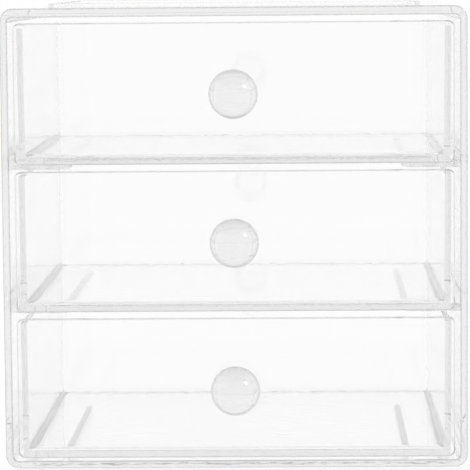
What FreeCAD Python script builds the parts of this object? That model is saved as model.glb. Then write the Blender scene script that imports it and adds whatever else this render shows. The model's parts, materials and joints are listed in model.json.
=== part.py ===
"""Clear acrylic organizer with three sliding drawers.

A rounded sleeve with a back wall carries three open-topped drawers on side ledges.  A raised rim on the
top takes the L-shaped feet of a second unit, so units stack.

Frame: millimetres, +Z up, -Y towards the open front.  The origin lies under the middle of the whole
object, knobs included, on the surface that it stands on.
"""

import FreeCAD
import Part

import math
import os

from FreeCAD import Vector

# --- driving dimensions -------------------------------------------------------------------------------

CASE_WIDTH = 178.0
CASE_DEPTH = 165.0
CASE_HEIGHT = 177.0
CASE_CORNER = 5.0            # outer radius of the four long corners
SIDE_WALL = 2.9
TOP_WALL = 3.5
BOTTOM_WALL = 2.9
BACK_WALL = 2.9
RIM_ROUND = 0.7              # rounding of the case's front edges

LEVELS = ("bottom", "middle", "top")
FRONT_WIDTH = 168.4
FRONT_HEIGHT = 54.2
FRONT_PITCH = 56.6           # from one drawer to the next
FRONT_RISE = 3.9             # lowest front above the underside of the case
FRONT_CORNER = 2.6
FRONT_SETBACK = 0.5          # the fronts lie just inside the case's front edge
FRONT_WALL = 2.4
FRONT_ROUND = 0.8            # rounding of the front plate's edges, before and behind

TRAY_WALL = 2.4
TRAY_FLOOR = 2.4
TRAY_HALF_WIDTH = 82.8       # at the rim
TRAY_DRAFT = 0.4             # how much narrower each side is at the floor
TRAY_BACK_GAP = 1.6          # from the tray's back to the case's back wall
RIM_DROP = 2.0               # the side and back rims lie this far below the front's top edge
TRAY_CORNER = 0.6            # outer radius of the rear upright corners
HOLLOW_CORNER = 3.0          # inner radius of the same corners
HOLLOW_FILLET = 2.0          # inside the tray, where the walls meet the floor
KEEL_FILLET = 0.5            # outside the tray, under the walls

LEDGE_INNER = 64.5           # from the middle plane to the ledge's inner edge
LEDGE_THICKNESS = 3.2
LEDGE_NOSE = 1.55            # rounding of the ledge's free edges, above and below
LEDGE_GAP = 0.3              # play between a ledge and the tray that it carries
LEDGE_START = 26.5           # behind the case's front edge
LEDGE_LENGTH = 118.0
LEDGE_CORNER = 5.0           # the two free corners
RAIL_WIDTH = 2.6             # runners on the case floor, along the same line as the ledges' edges
RAIL_CROWN = 0.65            # rounding of the runners' tops
RAIL_END = 1.25              # radius of the runners' ends, seen from above
RAIL_START = 22.0            # behind the case's front edge
RAIL_LENGTH = 100.0

LIP_WIDTH = 143.3
LIP_DEPTH = 141.0
LIP_START = 12.0             # behind the case's front edge
LIP_WALL = 2.4
LIP_HEIGHT = 1.7
LIP_SEAT = 0.5               # how deep the lip stands in its groove in the top wall
LIP_CORNER = 4.0
LIP_ROUND = 0.5

FOOT_HEIGHT = 2.2
FOOT_WALL = 2.4
FOOT_ARM = 15.0
FOOT_PLAY = 0.6              # between the feet and the lip that they drop into
FOOT_ROUND = 0.4

BALL_RADIUS = 9.4
BALL_STAND = 8.3             # ball centre ahead of the drawer front
FLANGE_RADIUS = 7.7
FLANGE_THICKNESS = 1.1
FLANGE_ROUND = 0.35
NECK_TURN = 0.9              # radius of the hollow between flange and ball
PAD_RADIUS = 6.6
PAD_THICKNESS = 0.3

# --- places that follow from them ---------------------------------------------------------------------

KNOB_REACH = BALL_STAND + BALL_RADIUS - FRONT_SETBACK
CASE_FRONT = KNOB_REACH - (CASE_DEPTH + KNOB_REACH) / 2.0
CASE_REAR = CASE_FRONT + CASE_DEPTH
CASE_BASE = FOOT_HEIGHT
CASE_TOP = CASE_BASE + CASE_HEIGHT
HALF_INSIDE = CASE_WIDTH / 2.0 - SIDE_WALL
INNER_CORNER = CASE_CORNER - SIDE_WALL
FRONT_FACE = CASE_FRONT + FRONT_SETBACK
TRAY_REAR = CASE_REAR - BACK_WALL - TRAY_BACK_GAP
LIP_FRONT = CASE_FRONT + LIP_START

UP = Vector(0, 0, 1)
DEEP = Vector(0, 1, 0)


# --- shared forms -------------------------------------------------------------------------------------

def rounded_rectangle(low, high, radii, place):
    """A closed wire with four corners, each an arc of its own radius, or square where that is zero.

    The corners go anticlockwise from (low, low).  place turns the flat (u, v) of the outline into space.
    """
    (u0, v0), (u1, v1) = low, high
    corners = [(u0, v0, 180.0), (u1, v0, 270.0), (u1, v1, 0.0), (u0, v1, 90.0)]
    inward = [(1, 1), (-1, 1), (-1, -1), (1, -1)]
    turned = []
    for (u, v, start), (du, dv), radius in zip(corners, inward, radii):
        points = []
        for turn in (0.0, 45.0, 90.0):
            angle = math.radians(start + turn)
            arc_u = u + du * radius + radius * math.cos(angle)
            arc_v = v + dv * radius + radius * math.sin(angle)
            points.append(place(arc_u, arc_v))
        turned.append(points)
    edges = []
    for index, points in enumerate(turned):
        if radii[index] > 0:
            edges.append(Part.Arc(*points).toShape())
        following = turned[(index + 1) % 4][0]
        edges.append(Part.LineSegment(points[2], following).toShape())
    return Part.Wire(edges)


def upright(y):
    """Places an outline in the plane across the depth, at y."""
    return lambda u, v: Vector(u, y, v)


def level(z):
    """Places an outline in the level plane at z."""
    return lambda u, v: Vector(u, v, z)


def prism(wire, along):
    """The outline's face, carried along a vector."""
    return Part.Face(wire).extrude(along)


def edges_at(shape, test):
    """The edges whose ends and middle all pass the test."""
    found = []
    for edge in shape.Edges:
        middle = edge.valueAt((edge.FirstParameter + edge.LastParameter) / 2.0)
        points = [vertex.Point for vertex in edge.Vertexes] + [middle]
        if all(test(point) for point in points):
            found.append(edge)
    return found


def near(value, target):
    """True within a thousandth of a millimetre."""
    return abs(value - target) < 1e-3


# --- case ---------------------------------------------------------------------------------------------

def outside(point):
    """True on the sleeve's outer skin, its rounded corners included."""
    skin = CASE_CORNER * 0.4
    across = abs(point.x) > CASE_WIDTH / 2.0 - skin
    return across or not CASE_BASE + skin < point.z < CASE_TOP - skin


def case_sleeve():
    """Four walls as one rounded tube, with its front edges softened and a groove on top for the lip."""
    half = CASE_WIDTH / 2.0
    outer = rounded_rectangle((-half, CASE_BASE), (half, CASE_TOP), [CASE_CORNER] * 4, upright(CASE_FRONT))
    inner = rounded_rectangle(
        (-HALF_INSIDE, CASE_BASE + BOTTOM_WALL),
        (HALF_INSIDE, CASE_TOP - TOP_WALL),
        [INNER_CORNER] * 4,
        upright(CASE_FRONT),
    )
    run = DEEP * CASE_DEPTH
    tube = prism(outer, run).cut(prism(inner, run))
    rims = edges_at(tube, lambda p: near(p.y, CASE_FRONT))
    rims += edges_at(tube, lambda p: near(p.y, CASE_REAR) and outside(p))
    tube = tube.makeFillet(RIM_ROUND, rims)
    return tube.cut(lip_ring(LIP_SEAT))


def case_back():
    """The back wall, seated inside the rear of the sleeve and flush with its end."""
    outline = rounded_rectangle(
        (-HALF_INSIDE, CASE_BASE + BOTTOM_WALL),
        (HALF_INSIDE, CASE_TOP - TOP_WALL),
        [INNER_CORNER] * 4,
        upright(CASE_REAR - BACK_WALL),
    )
    return prism(outline, DEEP * BACK_WALL)


def ledge(side, tray_underside):
    """A strip from the side wall inwards, with its two free corners rounded and a full nose all along."""
    top = tray_underside - LEDGE_GAP
    start = CASE_FRONT + LEDGE_START
    if side > 0:
        low, high = (LEDGE_INNER, start), (HALF_INSIDE, start + LEDGE_LENGTH)
        radii = [LEDGE_CORNER, 0, 0, LEDGE_CORNER]
    else:
        low, high = (-HALF_INSIDE, start), (-LEDGE_INNER, start + LEDGE_LENGTH)
        radii = [0, LEDGE_CORNER, LEDGE_CORNER, 0]
    strip = prism(rounded_rectangle(low, high, radii, level(top - LEDGE_THICKNESS)), UP * LEDGE_THICKNESS)
    wall = side * HALF_INSIDE
    free = edges_at(strip, lambda p: near(p.z, top) and not near(p.x, wall))
    free += edges_at(strip, lambda p: near(p.z, top - LEDGE_THICKNESS) and not near(p.x, wall))
    return strip.makeFillet(LEDGE_NOSE, free)


def floor_rail(side):
    """A low crowned runner on the case floor, in line with the ledges' inner edges."""
    base = CASE_BASE + BOTTOM_WALL
    height = FRONT_RISE - BOTTOM_WALL - LEDGE_GAP
    start = CASE_FRONT + RAIL_START
    inner = side * LEDGE_INNER
    outer = side * (LEDGE_INNER + RAIL_WIDTH)
    outline = rounded_rectangle(
        (min(inner, outer), start),
        (max(inner, outer), start + RAIL_LENGTH),
        [RAIL_END] * 4,
        level(base),
    )
    rail = prism(outline, UP * height)
    return rail.makeFillet(RAIL_CROWN, edges_at(rail, lambda p: near(p.z, base + height)))


def lip_ring(height):
    """The plan of the stacking lip, raised from the bottom of its groove."""
    half = LIP_WIDTH / 2.0
    rear = LIP_FRONT + LIP_DEPTH
    groove = level(CASE_TOP - LIP_SEAT)
    outer = rounded_rectangle((-half, LIP_FRONT), (half, rear), [LIP_CORNER] * 4, groove)
    inner = rounded_rectangle(
        (-half + LIP_WALL, LIP_FRONT + LIP_WALL),
        (half - LIP_WALL, rear - LIP_WALL),
        [LIP_CORNER - LIP_WALL] * 4,
        groove,
    )
    return prism(outer, UP * height).cut(prism(inner, UP * height))


def stacking_lip():
    """A rounded-rectangle rim on the top wall, with its upper edges softened."""
    rim = lip_ring(LIP_SEAT + LIP_HEIGHT)
    return rim.makeFillet(LIP_ROUND, edges_at(rim, lambda p: near(p.z, CASE_TOP + LIP_HEIGHT)))


def foot(side, end):
    """An L-shaped foot: one corner of a thin ring that fits inside the stacking lip."""
    half = LIP_WIDTH / 2.0 - LIP_WALL - FOOT_PLAY
    front = LIP_FRONT + LIP_WALL + FOOT_PLAY
    rear = LIP_FRONT + LIP_DEPTH - LIP_WALL - FOOT_PLAY
    corner = LIP_CORNER
    outer = rounded_rectangle((-half, front), (half, rear), [corner] * 4, level(0))
    inner = rounded_rectangle(
        (-half + FOOT_WALL, front + FOOT_WALL),
        (half - FOOT_WALL, rear - FOOT_WALL),
        [corner - FOOT_WALL] * 4,
        level(0),
    )
    rise = UP * FOOT_HEIGHT
    ring = prism(outer, rise).cut(prism(inner, rise))
    corner_x = side * half
    corner_y = front if end < 0 else rear
    keep = Part.makeBox(
        FOOT_ARM,
        FOOT_ARM,
        FOOT_HEIGHT,
        Vector(min(corner_x, corner_x - side * FOOT_ARM), min(corner_y, corner_y - end * FOOT_ARM), 0),
    )
    arms = ring.common(keep)
    return arms.makeFillet(FOOT_ROUND, edges_at(arms, lambda p: near(p.z, 0)))


# --- drawers ------------------------------------------------------------------------------------------

def drafted(z_low, z_high, inset, front, rear_corner):
    """A solid lofted between two level outlines, so that its sides and back lean outwards as they rise.

    inset is how far it lies inside the tray's outer skin; its upper outline is the wider one.  The front
    corners are square, where the walls meet the drawer front.
    """
    sections = []
    for z, lean in ((z_low, TRAY_DRAFT), (z_high, 0.0)):
        half = TRAY_HALF_WIDTH - lean - inset
        rear = TRAY_REAR - lean - inset
        radii = [0, 0, rear_corner, rear_corner]
        sections.append(rounded_rectangle((-half, front), (half, rear), radii, level(z)))
    return Part.makeLoft(sections, True, True)


def drawer_tray(front_base):
    """A moulded tray: drafted walls, a filleted hollow and a front that overhangs the sides and rims."""
    front_top = front_base + FRONT_HEIGHT
    rim = front_top - RIM_DROP
    body = drafted(front_base, rim, 0.0, FRONT_FACE + FRONT_WALL / 2.0, TRAY_CORNER)
    skirt = FRONT_FACE + FRONT_WALL
    flank = TRAY_HALF_WIDTH - 1.0
    keel = edges_at(body, lambda p: near(p.z, front_base) and (p.y > skirt or abs(p.x) > flank))
    body = body.makeFillet(KEEL_FILLET, keel)

    hollow = drafted(front_base + TRAY_FLOOR, rim, TRAY_WALL, skirt, HOLLOW_CORNER)
    hollow = hollow.makeFillet(HOLLOW_FILLET, edges_at(hollow, lambda p: near(p.z, front_base + TRAY_FLOOR)))

    outline = rounded_rectangle(
        (-FRONT_WIDTH / 2.0, front_base),
        (FRONT_WIDTH / 2.0, front_top),
        [FRONT_CORNER] * 4,
        upright(FRONT_FACE),
    )
    front = prism(outline, DEEP * FRONT_WALL)
    rims = edges_at(front, lambda p: near(p.y, FRONT_FACE) or near(p.y, skirt))
    front = front.makeFillet(FRONT_ROUND, rims)
    return front.fuse(body).cut(hollow).removeSplitter()


def knob_centre(front_base):
    """The middle of a drawer front, on its outer face."""
    return Vector(0, FRONT_FACE, front_base + FRONT_HEIGHT / 2.0)


def knob(front_base):
    """A ball with a round flange behind it, turned as one profile about the pull axis.

    In the profile, r is the distance from the axis and t the distance ahead of the drawer front.  The
    hollow between the flange and the ball is an arc that touches both.
    """
    back = PAD_THICKNESS
    face = back + FLANGE_THICKNESS
    turn_t = face + NECK_TURN
    reach = BALL_RADIUS + NECK_TURN
    turn_r = math.sqrt(reach ** 2 - (BALL_STAND - turn_t) ** 2)
    share = BALL_RADIUS / reach
    touch = (turn_r * share, BALL_STAND + (turn_t - BALL_STAND) * share)
    lean = math.atan2(touch[1] - turn_t, touch[0] - turn_r)
    bottom = -math.pi / 2.0
    middle = (lean % (2.0 * math.pi) + bottom % (2.0 * math.pi)) / 2.0
    start = math.atan2(touch[1] - BALL_STAND, touch[0])
    halfway = (start + math.pi / 2.0) / 2.0
    edge = FLANGE_RADIUS - FLANGE_ROUND
    corner = math.sin(math.pi / 4.0) * FLANGE_ROUND

    def at(r, t):
        return Vector(r, FRONT_FACE - t, knob_centre(front_base).z)

    profile = [
        Part.LineSegment(at(0, back), at(edge, back)),
        Part.Arc(
            at(edge, back),
            at(edge + corner, back + FLANGE_ROUND - corner),
            at(FLANGE_RADIUS, back + FLANGE_ROUND),
        ),
        Part.LineSegment(at(FLANGE_RADIUS, back + FLANGE_ROUND), at(FLANGE_RADIUS, face - FLANGE_ROUND)),
        Part.Arc(
            at(FLANGE_RADIUS, face - FLANGE_ROUND),
            at(edge + corner, face - FLANGE_ROUND + corner),
            at(edge, face),
        ),
        Part.LineSegment(at(edge, face), at(turn_r, face)),
        Part.Arc(
            at(turn_r, face),
            at(turn_r + NECK_TURN * math.cos(middle), turn_t + NECK_TURN * math.sin(middle)),
            at(*touch),
        ),
        Part.Arc(
            at(*touch),
            at(BALL_RADIUS * math.cos(halfway), BALL_STAND + BALL_RADIUS * math.sin(halfway)),
            at(0, BALL_STAND + BALL_RADIUS),
        ),
        Part.LineSegment(at(0, BALL_STAND + BALL_RADIUS), at(0, back)),
    ]
    wire = Part.Wire([curve.toShape() for curve in profile])
    return Part.Face(wire).revolve(knob_centre(front_base), DEEP, 360)


def knob_pad(front_base):
    """The thin clear disc that bonds a knob to its drawer front."""
    return Part.makeCylinder(PAD_RADIUS, PAD_THICKNESS, knob_centre(front_base), -DEEP)


# --- the whole object ---------------------------------------------------------------------------------

def all_nodes():
    """Every piece by its name."""
    nodes = {
        "case_sleeve": case_sleeve(),
        "case_back": case_back(),
        "stacking_lip": stacking_lip(),
    }
    sides = {"left": -1, "right": 1}
    ends = {"front": -1, "back": 1}
    base = {name: CASE_BASE + FRONT_RISE + index * FRONT_PITCH for index, name in enumerate(LEVELS)}
    for side, sign in sides.items():
        nodes[f"ledge_upper_{side}"] = ledge(sign, base["top"])
        nodes[f"ledge_lower_{side}"] = ledge(sign, base["middle"])
        nodes[f"floor_rail_{side}"] = floor_rail(sign)
        for end, direction in ends.items():
            nodes[f"foot_{end}_{side}"] = foot(sign, direction)
    for name in LEVELS:
        nodes[f"drawer_tray_{name}"] = drawer_tray(base[name])
        nodes[f"knob_{name}"] = knob(base[name])
        nodes[f"knob_pad_{name}"] = knob_pad(base[name])
    return nodes


def main():
    """Writes one STEP file for each piece."""
    os.makedirs("parts", exist_ok=True)
    for name, shape in all_nodes().items():
        if not shape.isValid() or len(shape.Solids) != 1:
            raise ValueError(f"{name} is not one valid solid")
        shape.exportStep(f"parts/{name}.step")
        box = shape.BoundBox
        print(f"{name}: {box.XLength:.2f} x {box.YLength:.2f} x {box.ZLength:.2f} mm, {shape.Volume:.0f} mm3")


main()
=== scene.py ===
"""A clear acrylic organizer with three sliding drawers, dressed and lit.

The rounded sleeve and the drawer trays come from the frame and get their finishes here.  The
knobs, the pads that bond them, the ledges, the floor runners, the feet, the stacking lip and the
back wall are surfaces worked out here.  Each reaches a hair into what it is bonded to, so that
light crosses the joint as it does through solvent cement.  Only the satin runners keep a hair's
gap.
"""

import json
import logging
import math
from dataclasses import dataclass, field
from enum import Enum

import bpy
import numpy as np
from bpy.types import Material, Node, NodeSocket, NodeTree, Object
from mathutils import Matrix, Vector


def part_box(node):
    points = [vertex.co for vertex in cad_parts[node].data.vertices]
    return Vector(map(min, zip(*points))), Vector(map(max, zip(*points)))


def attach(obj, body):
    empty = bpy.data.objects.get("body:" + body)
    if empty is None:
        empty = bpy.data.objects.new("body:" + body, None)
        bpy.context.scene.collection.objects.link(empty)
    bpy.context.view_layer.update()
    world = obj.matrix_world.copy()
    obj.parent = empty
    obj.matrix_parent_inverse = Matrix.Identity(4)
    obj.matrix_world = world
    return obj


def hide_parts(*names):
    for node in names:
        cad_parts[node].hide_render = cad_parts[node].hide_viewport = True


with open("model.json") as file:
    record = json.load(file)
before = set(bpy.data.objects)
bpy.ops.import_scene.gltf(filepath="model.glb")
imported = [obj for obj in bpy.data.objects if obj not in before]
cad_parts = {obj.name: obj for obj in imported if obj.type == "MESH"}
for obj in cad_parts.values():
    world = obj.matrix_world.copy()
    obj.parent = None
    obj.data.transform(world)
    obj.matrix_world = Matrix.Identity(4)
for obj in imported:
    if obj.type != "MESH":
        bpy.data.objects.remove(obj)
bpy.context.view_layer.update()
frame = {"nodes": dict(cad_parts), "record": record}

log = logging.getLogger("organizer")

MM = 0.001
BOND = 0.02                       # how far a bonded piece reaches into its neighbour, in mm
QUARTER = 12                      # steps in a quarter turn of a rounded corner or edge
TURN = np.linspace(0.0, 90.0, QUARTER + 1)    # the angles at those steps, in degrees
CREASE = 30.0                     # degrees between faces from which their line stays crisp
SEED_SPREAD = (1.0, 1.7, 2.3)     # how a finish's seed moves its pattern along x, y and z
BOUNCES = 128                     # turns that light may take inside the plastic
PICTURE_WIDTH = 470.0             # pixels across the picture
SENSOR_WIDTH = 36.0               # millimetres across the camera's sensor


class Slot(Enum):
    """The record's material slots."""

    CASE = "clear_case"
    DRAWER = "clear_drawer"
    KNOB = "clear_knob"
    PAD = "clear_pad"


class Row(Enum):
    """The drawers, from the lowest up."""

    BOTTOM = "bottom"
    MIDDLE = "middle"
    TOP = "top"


class Side(Enum):
    """The two sides, with the sign of x on each."""

    LEFT = -1
    RIGHT = 1


class End(Enum):
    """The two ends of the depth, with the sign of y at each."""

    FRONT = -1
    BACK = 1


class Storey(Enum):
    """The two heights at which ledges carry a drawer."""

    LOWER = "lower"
    UPPER = "upper"


class Plane(Enum):
    """How an outline's two directions and its rise lie in space, as the order of the axes."""

    LEVEL = (0, 1, 2)
    UPRIGHT = (0, 2, 1)


# --- colours and nodes ----------------------------------------------------------------------------

def linear(code: str) -> tuple[float, float, float, float]:
    """Turns an sRGB hex colour into linear values, by the curve that sRGB defines.

    Args:
        code: the colour as "#rrggbb".

    Returns:
        Red, green, blue and a full alpha.
    """
    values = [int(code[start:start + 2], 16) / 255.0 for start in (1, 3, 5)]
    straight = [v / 12.92 if v <= 0.04045 else ((v + 0.055) / 1.055) ** 2.4 for v in values]
    return (straight[0], straight[1], straight[2], 1.0)


def add(tree: NodeTree, kind: str, links: dict | None = None, **settings: object) -> Node:
    """Adds one node.

    Args:
        tree: where it goes.
        kind: the node's type name.
        links: by input name or number, a socket to link or a value to set.
        **settings: attributes of the node itself.

    Returns:
        The new node.
    """
    node = tree.nodes.new(kind)
    for name, value in settings.items():
        setattr(node, name, value)
    for key, value in (links or {}).items():
        if isinstance(value, NodeSocket):
            tree.links.new(value, node.inputs[key])
        else:
            node.inputs[key].default_value = value
    return node


# --- finishes -------------------------------------------------------------------------------------

@dataclass(frozen=True)
class ClearAcrylic:
    """Clear acrylic (PMMA), bright all through, with the faint flow of how its surface was made.

    Attributes:
        name: the material's name.
        tint: what one pass through the skin leaves of white.
        edge: painted shade, a grey for the dark line that refraction shows on rounded edges.
        painted_shade_span: the normal's greatest part where the painted edge shade begins, and is
            full.
        painted_shade_rear: how far back, in millimetres, rounded edges get the painted shade line.
        ior: how strongly it bends light.
        depth: the colour that a long way inside turns the light towards.
        haze: how fast it does so, per metre.
        shadow: what a shadow ray keeps of white at each wall.
        swell_size: millimetres from one swell of the surface to the next.
        swell_depth: height of the swells, in millimetres.
        grain_size: millimetres across a patch of slightly duller skin.
        grain_span: values of the pattern where such a patch begins, and where it is dullest.
        gloss: lowest roughness.
        dull: roughness at the dullest.
        polish: how much of a second, softer shine lies over the first.
        polish_softness: roughness of that second shine.
        seed: where in the pattern the piece lies.
    """

    name: str
    tint: str = "#fefefe"
    # painted shade: the grey painted on rounded edges, for the dark line refraction shows there
    edge: str = "#d2d2d2"
    painted_shade_span: tuple[float, float] = (0.99, 0.9)
    painted_shade_rear: float = 100.0
    ior: float = 1.49
    depth: str = "#f4f4f4"
    haze: float = 14.0
    shadow: str = "#f7f7f7"
    swell_size: float = 24.0
    swell_depth: float = 0.01
    grain_size: float = 9.0
    grain_span: tuple[float, float] = (0.55, 0.75)
    gloss: float = 0.0
    dull: float = 0.03
    polish: float = 0.0
    polish_softness: float = 0.22
    seed: float = 0.0

    def build(self) -> Material:
        """Makes the material.

        Returns:
            A material with the acrylic's surface, its greying depth and a light shadow.
        """
        material = bpy.data.materials.new(self.name)
        material.use_nodes = True
        tree = material.node_tree
        tree.nodes.clear()
        body = add(tree, "ShaderNodeBsdfPrincipled", {
            "Base Color": self.colour(tree),
            "Roughness": self.roughness(tree),
            "Normal": self.relief(tree),
            "IOR": self.ior,
            "Transmission Weight": 1.0,
            "Coat Weight": self.polish,
            "Coat Roughness": self.polish_softness,
        })
        # Clear plastic throws a pale shadow, which a ray that bends at each wall can't find.
        path = add(tree, "ShaderNodeLightPath")
        gap = add(tree, "ShaderNodeBsdfTransparent", {"Color": linear(self.shadow)})
        mix = add(tree, "ShaderNodeMixShader", {
            0: path.outputs["Is Shadow Ray"],
            1: body.outputs[0],
            2: gap.outputs[0],
        })
        inside = add(tree, "ShaderNodeVolumeAbsorption", {
            "Color": linear(self.depth),
            "Density": self.haze,
        })
        add(tree, "ShaderNodeOutputMaterial", {
            "Surface": mix.outputs[0],
            "Volume": inside.outputs[0],
        })
        return material

    def place(self, tree: NodeTree, size: float) -> NodeSocket:
        """Object coordinates, scaled so that one unit is a number of millimetres.

        Args:
            tree: the material's nodes.
            size: that number of millimetres.

        Returns:
            The scaled coordinates.
        """
        coords = add(tree, "ShaderNodeTexCoord")
        scale = 1.0 / (size * MM)
        turned = add(tree, "ShaderNodeMapping", {
            "Vector": coords.outputs["Object"],
            "Location": tuple(self.seed * spread for spread in SEED_SPREAD),
            "Scale": (scale, scale, scale),
        })
        return turned.outputs[0]

    def relief(self, tree: NodeTree) -> NodeSocket:
        """The low swells that cooling leaves.

        Args:
            tree: the material's nodes.

        Returns:
            The normal that they give.
        """
        swell = add(tree, "ShaderNodeTexNoise", {
            "Vector": self.place(tree, self.swell_size),
            "Detail": 1.0,
        })
        bump = add(tree, "ShaderNodeBump", {
            "Height": swell.outputs[0],
            "Distance": self.swell_depth * MM,
            "Strength": 1.0,
        })
        return bump.outputs[0]

    def roughness(self, tree: NodeTree) -> NodeSocket:
        """Bright skin with a few faintly duller patches, where it has been handled.

        Args:
            tree: the material's nodes.

        Returns:
            The roughness.
        """
        patch = add(tree, "ShaderNodeTexNoise", {
            "Vector": self.place(tree, self.grain_size),
            "Detail": 3.0,
        })
        begins, dullest = self.grain_span
        scale = add(tree, "ShaderNodeMapRange", {
            0: patch.outputs[0],
            1: begins,
            2: dullest,
            3: self.gloss,
            4: self.dull,
        })
        return scale.outputs[0]

    def facing(self, tree: NodeTree) -> Node:
        """The three parts of the piece's own normal, without their signs.

        Args:
            tree: the material's nodes.

        Returns:
            The node that gives them.
        """
        coords = add(tree, "ShaderNodeTexCoord")
        plain = add(tree, "ShaderNodeVectorMath", {
            0: coords.outputs["Normal"],
        }, operation="ABSOLUTE")
        return add(tree, "ShaderNodeSeparateXYZ", {0: plain.outputs[0]})

    def where(self, tree: NodeTree) -> Node:
        """The node that gives the three parts of a place on the piece, in metres."""
        coords = add(tree, "ShaderNodeTexCoord")
        return add(tree, "ShaderNodeSeparateXYZ", {0: coords.outputs["Object"]})

    def edges(self, tree: NodeTree) -> NodeSocket:
        """How far the surface has turned over a rounded edge.

        This is where the painted edge shade goes.  A flat faces along one axis, so the greatest
        part of its normal is 1.  It falls as the surface turns over an edge.  Edges behind the
        limit get no painted line.

        Args:
            tree: the material's nodes.

        Returns:
            A number from 0 on a flat to 1 on an edge.
        """
        parts = self.facing(tree)
        wide = add(tree, "ShaderNodeMath", {
            0: parts.outputs[0],
            1: parts.outputs[1],
        }, operation="MAXIMUM")
        most = add(tree, "ShaderNodeMath", {
            0: wide.outputs[0],
            1: parts.outputs[2],
        }, operation="MAXIMUM")
        begins, full = self.painted_shade_span
        turn = add(tree, "ShaderNodeMapRange", {0: most.outputs[0], 1: begins, 2: full})
        ahead = add(tree, "ShaderNodeMath", {
            0: self.where(tree).outputs[1],
            1: self.painted_shade_rear * MM,
        }, operation="LESS_THAN")
        both = add(tree, "ShaderNodeMath", {
            0: turn.outputs[0],
            1: ahead.outputs[0],
        }, operation="MULTIPLY")
        return both.outputs[0]

    def colour(self, tree: NodeTree) -> NodeSocket:
        """The tint on the flats, and a grey line of painted shade on the rounded edges.

        Args:
            tree: the material's nodes.

        Returns:
            The colour.
        """
        # painted shade: the edge grey is mixed in where the surface turns over a rounded edge
        tint_and_painted_shade = add(tree, "ShaderNodeMix", {
            0: self.edges(tree),
            6: linear(self.tint),
            7: linear(self.edge),
        }, data_type="RGBA")
        return tint_and_painted_shade.outputs[2]


@dataclass(frozen=True)
class DrawnSheet(ClearAcrylic):
    """Acrylic drawn as one flat-walled tube: long, very shallow swells and the brightest skin."""

    name: str = "drawn_clear_acrylic"
    haze: float = 9.0
    painted_shade_rear: float = -73.1


@dataclass(frozen=True)
class MouldedTray(ClearAcrylic):
    """Moulded acrylic: shorter swells, where the melt shrank, that bend what shows through."""

    name: str = "moulded_clear_acrylic"
    haze: float = 12.0
    swell_size: float = 14.0
    swell_depth: float = 0.012
    seed: float = 3.1
    painted_shade_rear: float = -70.8


@dataclass(frozen=True)
class TurnedKnob(ClearAcrylic):
    """Acrylic turned and flame-polished: a lens, with painted shade, a dark ring on its outline
    and its flange's rim, for the dark rim where light leaves sideways.

    Attributes:
        outline: how far the ball has turned edge on where the painted dark ring begins, and is
            full.
        flange_ahead: a place just ahead of the flange along the pull axis, in millimetres.
        painted_rim_span: the normal's part along that axis where the rim's painted shade begins,
            and is full.
    """

    name: str = "polished_clear_acrylic"
    tint: str = "#f9f9f9"
    swell_size: float = 6.0
    swell_depth: float = 0.001
    dull: float = 0.0
    # painted shade: the dark grey of the ring on the ball's outline and the flange's rim
    edge: str = "#8a8a8a"
    polish: float = 1.0
    seed: float = 5.7
    outline: tuple[float, float] = (0.5, 0.85)
    flange_ahead: float = -75.0
    painted_rim_span: tuple[float, float] = (0.95, 0.6)

    def edges(self, tree: NodeTree) -> NodeSocket:
        """Where the painted dark ring goes: the ball's outline, where it is seen edge on, and the
        rim of the flange behind it.

        Args:
            tree: the material's nodes.

        Returns:
            A number from 0 elsewhere to 1 on the outline and the rim.
        """
        # painted shade: the ring darkens as the surface turns away from the eye
        turn = add(tree, "ShaderNodeLayerWeight")
        begins, full = self.outline
        outline = add(tree, "ShaderNodeMapRange", {0: turn.outputs["Facing"], 1: begins, 2: full})
        behind = add(tree, "ShaderNodeMath", {
            0: self.where(tree).outputs[1],
            1: self.flange_ahead * MM,
        }, operation="GREATER_THAN")
        begins, full = self.painted_rim_span
        side = add(tree, "ShaderNodeMapRange", {
            0: self.facing(tree).outputs[1],
            1: begins,
            2: full,
        })
        rim = add(tree, "ShaderNodeMath", {
            0: behind.outputs[0],
            1: side.outputs[0],
        }, operation="MULTIPLY")
        both = add(tree, "ShaderNodeMath", {
            0: outline.outputs[0],
            1: rim.outputs[0],
        }, operation="MAXIMUM")
        return both.outputs[0]


@dataclass(frozen=True)
class BondPad(ClearAcrylic):
    """Clear bonding film, so soft that its face lies perfectly smooth against both neighbours."""

    name: str = "clear_bonding_film"
    swell_size: float = 3.0
    swell_depth: float = 0.0005
    dull: float = 0.0
    # the painted edge shade is the plain tint here, so no line shows
    edge: str = "#fefefe"
    seed: float = 7.9


@dataclass(frozen=True)
class SatinRunner(ClearAcrylic):
    """Acrylic left with a fine sanded satin, which spreads what shows through it to an even grey.

    Its real grain is a few hundredths of a millimetre, too fine to show, so it is drawn coarser.
    """

    name: str = "satin_clear_acrylic"
    tint: str = "#ededed"
    swell_size: float = 2.0
    swell_depth: float = 0.004
    grain_size: float = 0.8
    gloss: float = 0.3
    dull: float = 0.4
    seed: float = 9.3


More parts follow.
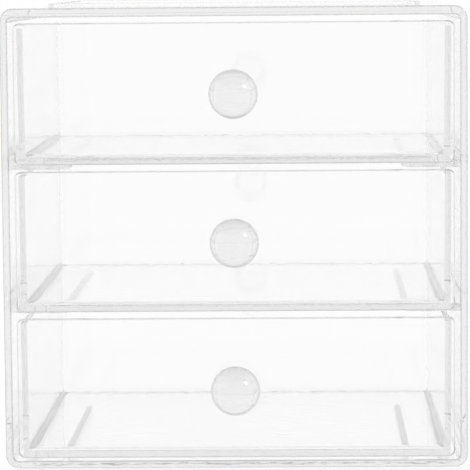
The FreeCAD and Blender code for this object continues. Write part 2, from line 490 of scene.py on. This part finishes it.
@dataclass(frozen=True)
class SandedLedge(DrawnSheet):
    """Clear sheet whose free edge is sanded to a satin band, on which the drawer slides.

    Attributes:
        band_edge: how far the band reaches from the middle of the case, in millimetres.
        band_rise: the normal's upward part from which a face counts as the upper one.
        band_tint: what one pass through the band leaves of white.
        satin: the finish that gives the band its roughness.
    """

    name: str = "edge_sanded_clear_acrylic"
    band_edge: float = 67.1
    band_rise: float = 0.3
    band_tint: str = "#dedede"
    satin: SatinRunner = field(default_factory=SatinRunner)

    def band(self, tree: NodeTree) -> NodeSocket:
        """Where the sanded band of the upper face lies.

        Args:
            tree: the material's nodes.

        Returns:
            1 on the band, and 0 on the rest.
        """
        across = add(tree, "ShaderNodeMath", {
            0: self.where(tree).outputs[0],
        }, operation="ABSOLUTE")
        free = add(tree, "ShaderNodeMath", {
            0: across.outputs[0],
            1: self.band_edge * MM,
        }, operation="LESS_THAN")
        coords = add(tree, "ShaderNodeTexCoord")
        rise = add(tree, "ShaderNodeSeparateXYZ", {0: coords.outputs["Normal"]})
        upper = add(tree, "ShaderNodeMath", {
            0: rise.outputs[2],
            1: self.band_rise,
        }, operation="GREATER_THAN")
        both = add(tree, "ShaderNodeMath", {
            0: free.outputs[0],
            1: upper.outputs[0],
        }, operation="MULTIPLY")
        return both.outputs[0]

    def roughness(self, tree: NodeTree) -> NodeSocket:
        """The satin's roughness on the band, and the sheet's elsewhere.

        Args:
            tree: the material's nodes.

        Returns:
            The roughness.
        """
        both = add(tree, "ShaderNodeMix", {
            0: self.band(tree),
            2: super().roughness(tree),
            3: self.satin.roughness(tree),
        }, data_type="FLOAT")
        return both.outputs[0]

    def colour(self, tree: NodeTree) -> NodeSocket:
        """The band's grey on the band, and the sheet's tint elsewhere.

        Args:
            tree: the material's nodes.

        Returns:
            The colour.
        """
        both = add(tree, "ShaderNodeMix", {
            0: self.band(tree),
            6: linear(self.tint),
            7: linear(self.band_tint),
        }, data_type="RGBA")
        return both.outputs[2]


@dataclass(frozen=True)
class PalePaper:
    """The matt white paper sweep that the organizer stands on.

    Attributes:
        shade: colour of the paper.
        seen: how much of its own white the eye sees, against the shade that falls on it.
        behind: the same where it shows through or in the plastic.
    """

    shade: str = "#fcfcfc"
    seen: float = 0.85
    behind: float = 0.93

    def build(self) -> Material:
        """Makes the material.

        Returns:
            Paper that reads as plain white and still takes a shadow.
        """
        material = bpy.data.materials.new("pale_paper")
        material.use_nodes = True
        tree = material.node_tree
        tree.nodes.clear()
        path = add(tree, "ShaderNodeLightPath")
        bent = add(tree, "ShaderNodeMath", {
            0: path.outputs["Is Glossy Ray"],
            1: path.outputs["Is Transmission Ray"],
        }, operation="MAXIMUM")
        through = add(tree, "ShaderNodeMath", {
            0: bent.outputs[0],
            1: self.behind,
        }, operation="MULTIPLY")
        direct = add(tree, "ShaderNodeMath", {
            0: path.outputs["Is Camera Ray"],
            1: self.seen,
        }, operation="MULTIPLY")
        share = add(tree, "ShaderNodeMath", {
            0: through.outputs[0],
            1: direct.outputs[0],
        }, operation="MAXIMUM")
        paper = add(tree, "ShaderNodeBsdfDiffuse", {"Color": linear(self.shade)})
        white = add(tree, "ShaderNodeEmission", {"Color": linear("#ffffff"), "Strength": 1.0})
        mix = add(tree, "ShaderNodeMixShader", {
            0: share.outputs[0],
            1: paper.outputs[0],
            2: white.outputs[0],
        })
        add(tree, "ShaderNodeOutputMaterial", {"Surface": mix.outputs[0]})
        return material


# --- outlines and surfaces ------------------------------------------------------------------------

@dataclass(frozen=True)
class Outline:
    """A closed outline in millimetres, and how each of its points moves as the outline grows.

    Attributes:
        points: N x 2 places.
        shifts: N x 2, the move of each point for one millimetre of growth.
    """

    points: np.ndarray
    shifts: np.ndarray

    def __add__(self, other: "Outline") -> "Outline":
        """This run of points followed by another."""
        points, shifts = (self.points, other.points), (self.shifts, other.shifts)
        return Outline(np.vstack(points), np.vstack(shifts))

    def mirrored(self, signs: tuple[float, float], origin: tuple[float, float]) -> "Outline":
        """The outline with each direction turned by a sign, then moved to an origin."""
        turn = np.array(signs)
        return Outline(self.points * turn + np.array(origin), self.shifts * turn)

    def stack(self, insets: np.ndarray, heights: np.ndarray, plane: Plane) -> np.ndarray:
        """Rings of the outline, one above the other.

        A ring's point is outline point - inset x shift, at the ring's height.

        Args:
            insets: R amounts by which the rings are smaller than the outline.
            heights: R heights of the rings.
            plane: how the outline and its rise lie in space.

        Returns:
            R x N x 3 places in millimetres.
        """
        flat = self.points[None] - insets[:, None, None] * self.shifts[None]
        rise = np.broadcast_to(heights[:, None, None], flat.shape[:2] + (1,))
        return np.concatenate([flat, rise], axis=2)[:, :, list(plane.value)]


def corner(
    centre: tuple[float, float],
    radius: float,
    start: float,
    hollow: bool = False,
) -> Outline:
    """A rounded corner.

    Its points are centre + radius (cos a, sin a), with a going a quarter turn on from start, or
    back from it in a hollow corner.  A point moves along (cos a, sin a) as the outline grows, or
    against it in a hollow corner.

    Args:
        centre: centre of the arc.
        radius: its radius.
        start: its first angle in degrees.
        hollow: whether the solid lies outside the arc.

    Returns:
        The run of points.
    """
    way = -1.0 if hollow else 1.0
    angles = np.radians(start + way * TURN)
    spokes = np.column_stack([np.cos(angles), np.sin(angles)])
    return Outline(np.array(centre) + radius * spokes, way * spokes)


def point(place: tuple[float, float], shift: tuple[float, float]) -> Outline:
    """A square corner, as a run of one point."""
    return Outline(np.array([place]), np.array([shift], dtype=float))


def rounded_rectangle(low: np.ndarray, high: np.ndarray, radius: float) -> Outline:
    """A rectangle between two corners, each rounded by a quarter circle.

    Args:
        low: its lowest corner.
        high: its highest corner.
        radius: radius of the corners.

    Returns:
        The outline, anticlockwise.
    """
    (left, front), (right, rear) = low + radius, high - radius
    return (
        corner((left, front), radius, 180.0)
        + corner((right, front), radius, 270.0)
        + corner((right, rear), radius, 0.0)
        + corner((left, rear), radius, 90.0)
    )


def softened(
    low: float,
    high: float,
    below: float = 0.0,
    above: float = 0.0,
) -> tuple[np.ndarray, np.ndarray]:
    """Insets and heights of the rings of a plate whose long edges are rounded.

    On a rounded edge of radius r, at an angle a from the face to the side, the inset is
    r (1 - sin a) and the ring lies r (1 - cos a) from the face.  A square edge is a single ring.

    Args:
        low: height of the lower face.
        high: height of the upper face.
        below: radius of the lower edge.
        above: radius of the upper edge.

    Returns:
        The insets and the heights, from the lower face up.
    """
    arc, square = np.radians(TURN), np.array([math.pi / 2.0])
    under = arc if below > 0.0 else square
    over = arc[::-1] if above > 0.0 else square
    insets = np.concatenate([below * (1.0 - np.sin(under)), above * (1.0 - np.sin(over))])
    rise = below * (1.0 - np.cos(under))
    drop = above * (1.0 - np.cos(over))
    return insets, np.concatenate([low + rise, high - drop])


def shell(name: str, rings: np.ndarray, looped: bool = False) -> Object:
    """Makes a closed surface through rings of points.

    Faces join each ring to the next.  A looped surface joins its last ring to its first, and any
    other is closed by a face across each end ring.  The faces are turned outwards by the sign of
    the volume that the rings hold, which is the sum of p . (q x r) over the triangles p, q, r
    between them, with the places taken from the piece's middle.

    Args:
        name: the piece's name.
        rings: R x N x 3 places in millimetres.
        looped: whether the last ring joins the first.

    Returns:
        The piece, smooth over its curves and crisp at its edges.
    """
    count, around = rings.shape[:2]
    points = rings.reshape(-1, 3)
    index = np.arange(count * around).reshape(count, around)
    last = count if looped else count - 1
    here, there = index[:last], np.roll(index, -1, axis=0)[:last]
    corners = [here, np.roll(here, -1, axis=1), np.roll(there, -1, axis=1), there]
    quads = np.stack(corners, axis=-1).reshape(-1, 4)
    faces = quads.tolist()
    if not looped:
        faces += [index[0, ::-1].tolist(), index[-1].tolist()]
    p, q, r, s = np.moveaxis((points - points.mean(axis=0))[quads], 1, 0)
    volume = np.sum(p * np.cross(q, r)) + np.sum(p * np.cross(r, s))
    if volume < 0.0:
        faces = [face[::-1] for face in faces]

    mesh = bpy.data.meshes.new(name)
    mesh.from_pydata((points * MM).tolist(), [], faces)
    mesh.validate()
    mesh.shade_smooth()
    mesh.set_sharp_from_angle(angle=math.radians(CREASE))
    piece = bpy.data.objects.new(name, mesh)
    bpy.context.scene.collection.objects.link(piece)
    even = piece.modifiers.new("even_shading", "WEIGHTED_NORMAL")
    even.keep_sharp = True
    return piece


def extent(node: str) -> tuple[np.ndarray, np.ndarray]:
    """The lowest and highest corner of a CAD node at rest, in millimetres."""
    low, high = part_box(node)
    return np.array(low) / MM, np.array(high) / MM


def fit(piece: Object, node: str, material: Material) -> None:
    """Puts a piece in the place of a CAD node.

    Args:
        piece: the finished piece.
        node: the CAD node that it stands for.
        material: its finish.
    """
    piece.data.materials.append(material)
    bodies = frame["record"]["behaviour"]["bodies"]
    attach(piece, next(body for body, nodes in bodies.items() if node in nodes))
    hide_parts(node)
    log.info("%s: %d faces, %s", piece.name, len(piece.data.polygons), material.name)


def dress(node: str, material: Material) -> None:
    """Gives a CAD node that stays in view its finish.

    Args:
        node: the CAD node.
        material: its finish.
    """
    for place in frame["nodes"][node].material_slots:
        place.material = material
    log.info("%s: dressed in %s", node, material.name)


# --- the case -------------------------------------------------------------------------------------

@dataclass
class Case:
    """The sleeve and everything that is bonded to it.

    Attributes:
        back_corner: radius of the back wall's corners.
        lip_corner: outer radius of the stacking lip's corners, and of the feet's.
        lip_wall: how thick the lip stands, in plan.
        lip_round: rounding of its upper edges.
        foot_wall: how thick a foot stands, in plan.
        foot_round: rounding of a foot's lower edges.
        ledge_corner: radius of a ledge's two free corners.
        ledge_nose: rounding of its free edges.
        rail_end: radius of a runner's ends.
        rail_crown: rounding of its top.
        sheet: finish of the sleeve, the back, the lip and the feet.
        satin: finish of the runners.
        sanded: finish of the ledges.
    """

    back_corner: float = 2.1
    lip_corner: float = 4.0
    lip_wall: float = 2.4
    lip_round: float = 0.5
    foot_wall: float = 2.4
    foot_round: float = 0.4
    ledge_corner: float = 5.0
    ledge_nose: float = 1.55
    rail_end: float = 1.25
    rail_crown: float = 0.65
    sheet: DrawnSheet = field(default_factory=DrawnSheet)
    satin: SatinRunner = field(default_factory=SatinRunner)
    sanded: SandedLedge = field(default_factory=SandedLedge)

    def build(self) -> None:
        """Builds and dresses every piece of the case."""
        sheet = self.sheet.build()
        satin = self.satin.build()
        sanded = self.sanded.build()
        dress("case_sleeve", sheet)
        fit(self.back(), "case_back", sheet)
        fit(self.lip(), "stacking_lip", sheet)
        for side in Side:
            word = side.name.lower()
            for end in End:
                node = f"foot_{end.name.lower()}_{word}"
                fit(self.foot(node, side, end), node, sheet)
            for storey in Storey:
                node = f"ledge_{storey.value}_{word}"
                fit(self.ledge(node, side), node, sanded)
            node = f"floor_rail_{word}"
            fit(self.rail(node), node, satin)

    def back(self) -> Object:
        """The back wall: a rounded rectangle carried through its thickness.

        Returns:
            The piece, bonded all round.
        """
        low, high = extent("case_back")
        outline = rounded_rectangle(low[[0, 2]], high[[0, 2]], self.back_corner)
        insets, depths = softened(low[1], high[1])
        return shell("back_wall", outline.stack(insets - BOND, depths, Plane.UPRIGHT))

    def lip(self) -> Object:
        """The stacking lip: its wall's profile carried round a rounded rectangle.

        The profile goes up the outer side, over an edge of radius r, across, and down the inner
        side.  At an angle a over the outer edge its inset is r (1 - cos a) and its height
        top - r (1 - sin a); the inner edge mirrors that across the wall.

        Returns:
            The piece, bonded into its groove on three sides.
        """
        low, high = extent("stacking_lip")
        outline = rounded_rectangle(low[:2], high[:2], self.lip_corner)
        angles = np.radians(TURN)
        over = self.lip_round * (1.0 - np.cos(angles)) - BOND
        rise = high[2] - self.lip_round * (1.0 - np.sin(angles))
        base = low[2] - BOND
        insets = np.concatenate([[-BOND], over, self.lip_wall - over[::-1], [self.lip_wall + BOND]])
        heights = np.concatenate([[base], rise, rise[::-1], [base]])
        return shell("stacking_rim", outline.stack(insets, heights, Plane.LEVEL), looped=True)

    def foot(self, node: str, side: Side, end: End) -> Object:
        """A foot: an L in plan, round at its outer and inner corner, with softened lower edges.

        The L is drawn with its outer corner at the origin and its arms towards -x and -y, then
        mirrored to its own corner of the case.  Its top reaches into the case.

        Args:
            node: the CAD node that it stands for.
            side: its side of the case.
            end: its end of the case.

        Returns:
            The piece.
        """
        low, high = extent(node)
        arm = high[0] - low[0]
        turn = self.lip_corner
        wall = self.foot_wall
        outline = (
            corner((-turn, -turn), turn, 0.0)
            + point((-arm, 0.0), (-1.0, 1.0))
            + point((-arm, -wall), (-1.0, -1.0))
            + corner((-turn, -turn), turn - wall, 90.0, hollow=True)
            + point((-wall, -arm), (-1.0, -1.0))
            + point((0.0, -arm), (1.0, -1.0))
        )
        across = high[0] if side is Side.RIGHT else low[0]
        along = high[1] if end is End.BACK else low[1]
        outline = outline.mirrored((side.value, end.value), (across, along))
        insets, heights = softened(low[2], high[2], below=self.foot_round)
        heights[-1] += BOND
        name = f"foot_ring_{end.name.lower()}_{side.name.lower()}"
        return shell(name, outline.stack(insets, heights, Plane.LEVEL))

    def ledge(self, node: str, side: Side) -> Object:
        """A ledge: a strip from the side wall, with two rounded corners and a full nose.

        The strip is drawn with the wall along x = 0 and its free edge towards -x, then mirrored to
        its side.  Its wall edge, a hair inside the wall, keeps its place as the outline shrinks
        towards the nose's upper and lower lines.

        Args:
            node: the CAD node that it stands for.
            side: its side of the case.

        Returns:
            The piece.
        """
        low, high = extent(node)
        width = high[0] - low[0]
        turn = self.ledge_corner
        outline = (
            point((BOND, low[1]), (0.0, -1.0))
            + point((BOND, high[1]), (0.0, 1.0))
            + corner((turn - width, high[1] - turn), turn, 90.0)
            + corner((turn - width, low[1] + turn), turn, 180.0)
        )
        wall = high[0] if side is Side.RIGHT else low[0]
        outline = outline.mirrored((side.value, 1.0), (wall, 0.0))
        insets, heights = softened(low[2], high[2], below=self.ledge_nose, above=self.ledge_nose)
        name = node.replace("ledge", "side_ledge")
        return shell(name, outline.stack(insets, heights, Plane.LEVEL))

    def rail(self, node: str) -> Object:
        """A floor runner: a rounded strip with a crowned top.

        It lies a hair above the floor, because a satin piece that touches the floor turns part of
        the floor's front edge black.

        Args:
            node: the CAD node that it stands for.

        Returns:
            The piece.
        """
        low, high = extent(node)
        outline = rounded_rectangle(low[:2], high[:2], self.rail_end)
        insets, heights = softened(low[2], high[2], above=self.rail_crown)
        heights[0] += BOND
        name = node.replace("floor_rail", "floor_runner")
        return shell(name, outline.stack(insets, heights, Plane.LEVEL))


# --- a drawer -------------------------------------------------------------------------------------

@dataclass
class Drawer:
    """One drawer: its moulded tray, its turned knob and the pad between them.

    Attributes:
        row: which drawer it is.
        tray: finish of the tray, as built.
        knob: finish of the knob, as built.
        pad: finish of the pad, as built.
        ball_radius: radius of the knob's ball.
        ball_stand: from the back of the flange to the ball's centre.
        ball_tip: angle of the ball's last ring, in degrees, which a tiny flat face closes.
        ball_steps: steps along the ball's profile.
        flange_radius: radius of the flange.
        flange_thickness: its thickness.
        flange_round: rounding of its edges.
        flange_steps: steps along each of its rounded edges.
        neck_turn: radius of the hollow between flange and ball.
        neck_steps: steps along the hollow.
        around: steps round the knob.
    """

    row: Row
    tray: Material
    knob: Material
    pad: Material
    ball_radius: float = 9.4
    ball_stand: float = 8.0
    ball_tip: float = 89.8
    ball_steps: int = 72
    flange_radius: float = 7.7
    flange_thickness: float = 1.1
    flange_round: float = 0.35
    flange_steps: int = 8
    neck_turn: float = 0.9
    neck_steps: int = 12
    around: int = 128

    def build(self) -> None:
        """Builds and dresses every piece of the drawer."""
        row = self.row.value
        dress(f"drawer_tray_{row}", self.tray)
        fit(self.turned_knob(), f"knob_{row}", self.knob)
        fit(self.bonding_pad(), f"knob_pad_{row}", self.pad)

    def profile(self) -> np.ndarray:
        """The knob's profile, from the back of its flange to the tip of its ball.

        r is the distance from the axis and t the distance ahead of the flange's back.  Each arc is
        centre + radius (cos a, sin a).  The hollow's centre lies one ball and one hollow radius
        from the ball's centre, so that the two arcs touch where the line between the centres
        crosses them.  They share that point, which is kept once.

        Returns:
            P x 2 pairs of r and t in millimetres.
        """
        turn, half_turn = 2.0 * math.pi, math.pi
        quarter = math.pi / 2.0
        edge = self.flange_radius - self.flange_round
        face = self.flange_thickness
        neck_t = face + self.neck_turn
        reach = self.ball_radius + self.neck_turn
        neck_r = math.sqrt(reach ** 2 - (self.ball_stand - neck_t) ** 2)
        lean = math.atan2(self.ball_stand - neck_t, -neck_r)
        tip = math.radians(self.ball_tip)
        back_edge, front_edge = (edge, self.flange_round), (edge, face - self.flange_round)
        neck, ball = (neck_r, neck_t), (0.0, self.ball_stand)
        arcs = (
            (back_edge, self.flange_round, -quarter, 0.0, self.flange_steps),
            (front_edge, self.flange_round, 0.0, quarter, self.flange_steps),
            (neck, self.neck_turn, turn - quarter, lean, self.neck_steps),
            (ball, self.ball_radius, lean - half_turn, tip, self.ball_steps),
        )
        runs = []
        for centre, radius, start, stop, steps in arcs:
            angles = np.linspace(start, stop, steps + 1)
            spokes = np.column_stack([np.cos(angles), np.sin(angles)])
            runs.append(np.array(centre) + radius * spokes)
        return np.vstack(runs[:3] + [runs[3][1:]])

    def turned_knob(self) -> Object:
        """The knob: its profile turned about the pull axis.

        The point for r, t and an angle b is (r cos b, back - t, middle + r sin b).

        Returns:
            The piece.
        """
        low, high = extent(f"knob_{self.row.value}")
        middle = (low + high) / 2.0
        turn = np.linspace(0.0, 2.0 * math.pi, self.around, endpoint=False)
        r, t = self.profile().T
        x = middle[0] + r[:, None] * np.cos(turn)
        z = middle[2] + r[:, None] * np.sin(turn)
        y = np.broadcast_to(high[1] - t[:, None], x.shape)
        return shell(f"ball_knob_{self.row.value}", np.stack([x, y, z], axis=-1))

    def bonding_pad(self) -> Object:
        """The pad: a disc, whose point for an angle b is middle + radius (cos b, sin b).

        Returns:
            The piece, a hair inside the knob and the drawer front.
        """
        low, high = extent(f"knob_pad_{self.row.value}")
        radius = (high[0] - low[0]) / 2.0
        angles = np.linspace(0.0, 2.0 * math.pi, self.around, endpoint=False)
        spokes = np.column_stack([np.cos(angles), np.sin(angles)])
        middle = (low + high)[[0, 2]] / 2.0
        outline = Outline(middle + radius * spokes, spokes)
        insets, depths = softened(low[1] - BOND, high[1] + BOND)
        name = f"bonding_pad_{self.row.value}"
        return shell(name, outline.stack(insets, depths, Plane.UPRIGHT))


# --- the studio -----------------------------------------------------------------------------------

@dataclass
class Studio:
    """The paper, the air round it, one lamp and the camera.

    Attributes:
        reach: half the size of the paper sweep, in metres.
        paper: its finish.
        zenith: brightness of the ceiling that the plastic sees.
        rise: heights of a direction, from 0 to 1, between which the walls darken to the ceiling.
        hood: degrees from the lamp where a dark patch round it begins, and where it is full.
        hood_shade: what that patch leaves of the walls' white.
        lamp_way: direction of the lamp.
        lamp_away: its distance from the point that it faces, in metres.
        lamp_aim: height of that point, in metres.
        lamp_size: its side, in metres.
        lamp_power: its power, in watts.
        camera_place: place of the camera, in millimetres.
        camera_turn: its yaw, pitch and roll, in degrees.
        camera_lens: its focal length, in pixels of the picture.
    """

    reach: float = 60.0
    paper: PalePaper = field(default_factory=PalePaper)
    zenith: float = 0.55
    rise: tuple[float, float] = (0.5, 0.8)
    hood: tuple[float, float] = (15.0, 11.0)
    hood_shade: float = 0.05
    lamp_way: tuple[float, float, float] = (0.722, -0.418, 0.550)
    lamp_away: float = 1.2
    lamp_aim: float = 0.1
    lamp_size: float = 0.15
    lamp_power: float = 4.0
    camera_place: tuple[float, float, float] = (26.7, -1140.0, 190.8)
    camera_turn: tuple[float, float, float] = (-1.429, -5.28, -0.482)
    camera_lens: float = 2801.9

    def build(self) -> None:
        """Builds the whole studio."""
        self.air()
        self.sweep()
        self.lamp()
        self.camera()

    def air(self) -> None:
        """White walls all round, which the plastic sees darken to the ceiling and by the lamp.

        The eye and the paper see plain white in every direction.  The walls are even, so no ray is
        aimed at them: all of those go to the lamp, which keeps its glints clear.
        """
        world = bpy.data.worlds.new("studio_air")
        bpy.context.scene.world = world
        world.use_nodes = True
        world.cycles.sampling_method = "NONE"
        tree = world.node_tree
        tree.nodes.clear()
        path = add(tree, "ShaderNodeLightPath")
        coords = add(tree, "ShaderNodeTexCoord")
        split = add(tree, "ShaderNodeSeparateXYZ", {0: coords.outputs["Generated"]})
        low, high = self.rise
        walls = add(tree, "ShaderNodeMapRange", {
            0: split.outputs[2],
            1: low,
            2: high,
            3: 1.0,
            4: self.zenith,
        }, interpolation_type="SMOOTHSTEP")
        near = add(tree, "ShaderNodeVectorMath", {
            0: coords.outputs["Generated"],
            1: Vector(self.lamp_way).normalized(),
        }, operation="DOT_PRODUCT")
        begins, full = (math.cos(math.radians(angle)) for angle in self.hood)
        hood = add(tree, "ShaderNodeMapRange", {
            0: near.outputs["Value"],
            1: begins,
            2: full,
            3: 1.0,
            4: self.hood_shade,
        })
        shaded = add(tree, "ShaderNodeMath", {
            0: walls.outputs[0],
            1: hood.outputs[0],
        }, operation="MULTIPLY")
        plain = add(tree, "ShaderNodeMath", {
            0: path.outputs["Is Camera Ray"],
            1: path.outputs["Is Diffuse Ray"],
        }, operation="MAXIMUM")
        bent = add(tree, "ShaderNodeMath", {0: 1.0, 1: plain.outputs[0]}, operation="SUBTRACT")
        inside = add(tree, "ShaderNodeMath", {
            0: shaded.outputs[0],
            1: bent.outputs[0],
        }, operation="MULTIPLY")
        shade = add(tree, "ShaderNodeMath", {
            0: inside.outputs[0],
            1: plain.outputs[0],
        }, operation="ADD")
        back = add(tree, "ShaderNodeBackground", {"Color": shade.outputs[0], "Strength": 1.0})
        add(tree, "ShaderNodeOutputWorld", {"Surface": back.outputs[0]})
        log.info("studio air: white walls, ceiling %.2f", self.zenith)

    def sweep(self) -> None:
        """The level sheet of paper under the organizer."""
        half = self.reach
        corners = [(-half, -half, 0.0), (half, -half, 0.0), (half, half, 0.0), (-half, half, 0.0)]
        mesh = bpy.data.meshes.new("paper_sweep")
        mesh.from_pydata(corners, [], [(0, 1, 2, 3)])
        mesh.materials.append(self.paper.build())
        sweep = bpy.data.objects.new("paper_sweep", mesh)
        bpy.context.scene.collection.objects.link(sweep)
        log.info("paper sweep: %.0f m", 2.0 * half)

    def lamp(self) -> None:
        """A small soft lamp above the front right, which puts one glint on each knob."""
        light = bpy.data.lights.new("softbox", "AREA")
        light.size = self.lamp_size
        light.energy = self.lamp_power
        lamp = bpy.data.objects.new("softbox", light)
        bpy.context.scene.collection.objects.link(lamp)
        way = Vector(self.lamp_way).normalized()
        lamp.location = way * self.lamp_away + Vector((0.0, 0.0, self.lamp_aim))
        lamp.rotation_euler = way.to_track_quat("Z", "Y").to_euler()
        log.info("softbox: %.1f W", self.lamp_power)

    def camera(self) -> None:
        """The camera, level with the top of the case and turned slightly down and to the left."""
        yaw, pitch, roll = (math.radians(turn) for turn in self.camera_turn)
        level = math.cos(pitch)
        ahead = Vector((math.sin(yaw) * level, math.cos(yaw) * level, math.sin(pitch)))
        right = ahead.cross(Vector((0.0, 0.0, 1.0))).normalized()
        above = right.cross(ahead)
        across = right * math.cos(roll) + above * math.sin(roll)
        upward = above * math.cos(roll) - right * math.sin(roll)
        lens = bpy.data.cameras.new("camera")
        lens.sensor_width = SENSOR_WIDTH
        lens.lens = self.camera_lens / PICTURE_WIDTH * SENSOR_WIDTH
        camera = bpy.data.objects.new("camera", lens)
        bpy.context.scene.collection.objects.link(camera)
        stand = Matrix((across, upward, -ahead)).transposed().to_4x4()
        stand.translation = Vector(self.camera_place) * MM
        camera.matrix_world = stand
        bpy.context.scene.camera = camera
        log.info("camera: %.0f mm lens", lens.lens)


def main() -> None:
    """Builds the studio, the case and the drawers."""
    logging.basicConfig(level=logging.INFO, format="%(message)s")
    scene = bpy.context.scene
    scene.view_settings.view_transform = "Standard"
    # Light runs a long way inside clear plastic before it comes out.
    for way in ("max", "transmission", "glossy", "transparent_max"):
        setattr(scene.cycles, f"{way}_bounces", BOUNCES)
    Studio().build()
    Case().build()
    tray = MouldedTray().build()
    knob = TurnedKnob().build()
    pad = BondPad().build()
    for row in Row:
        Drawer(row, tray, knob, pad).build()


if __name__ == "__main__":
    main()
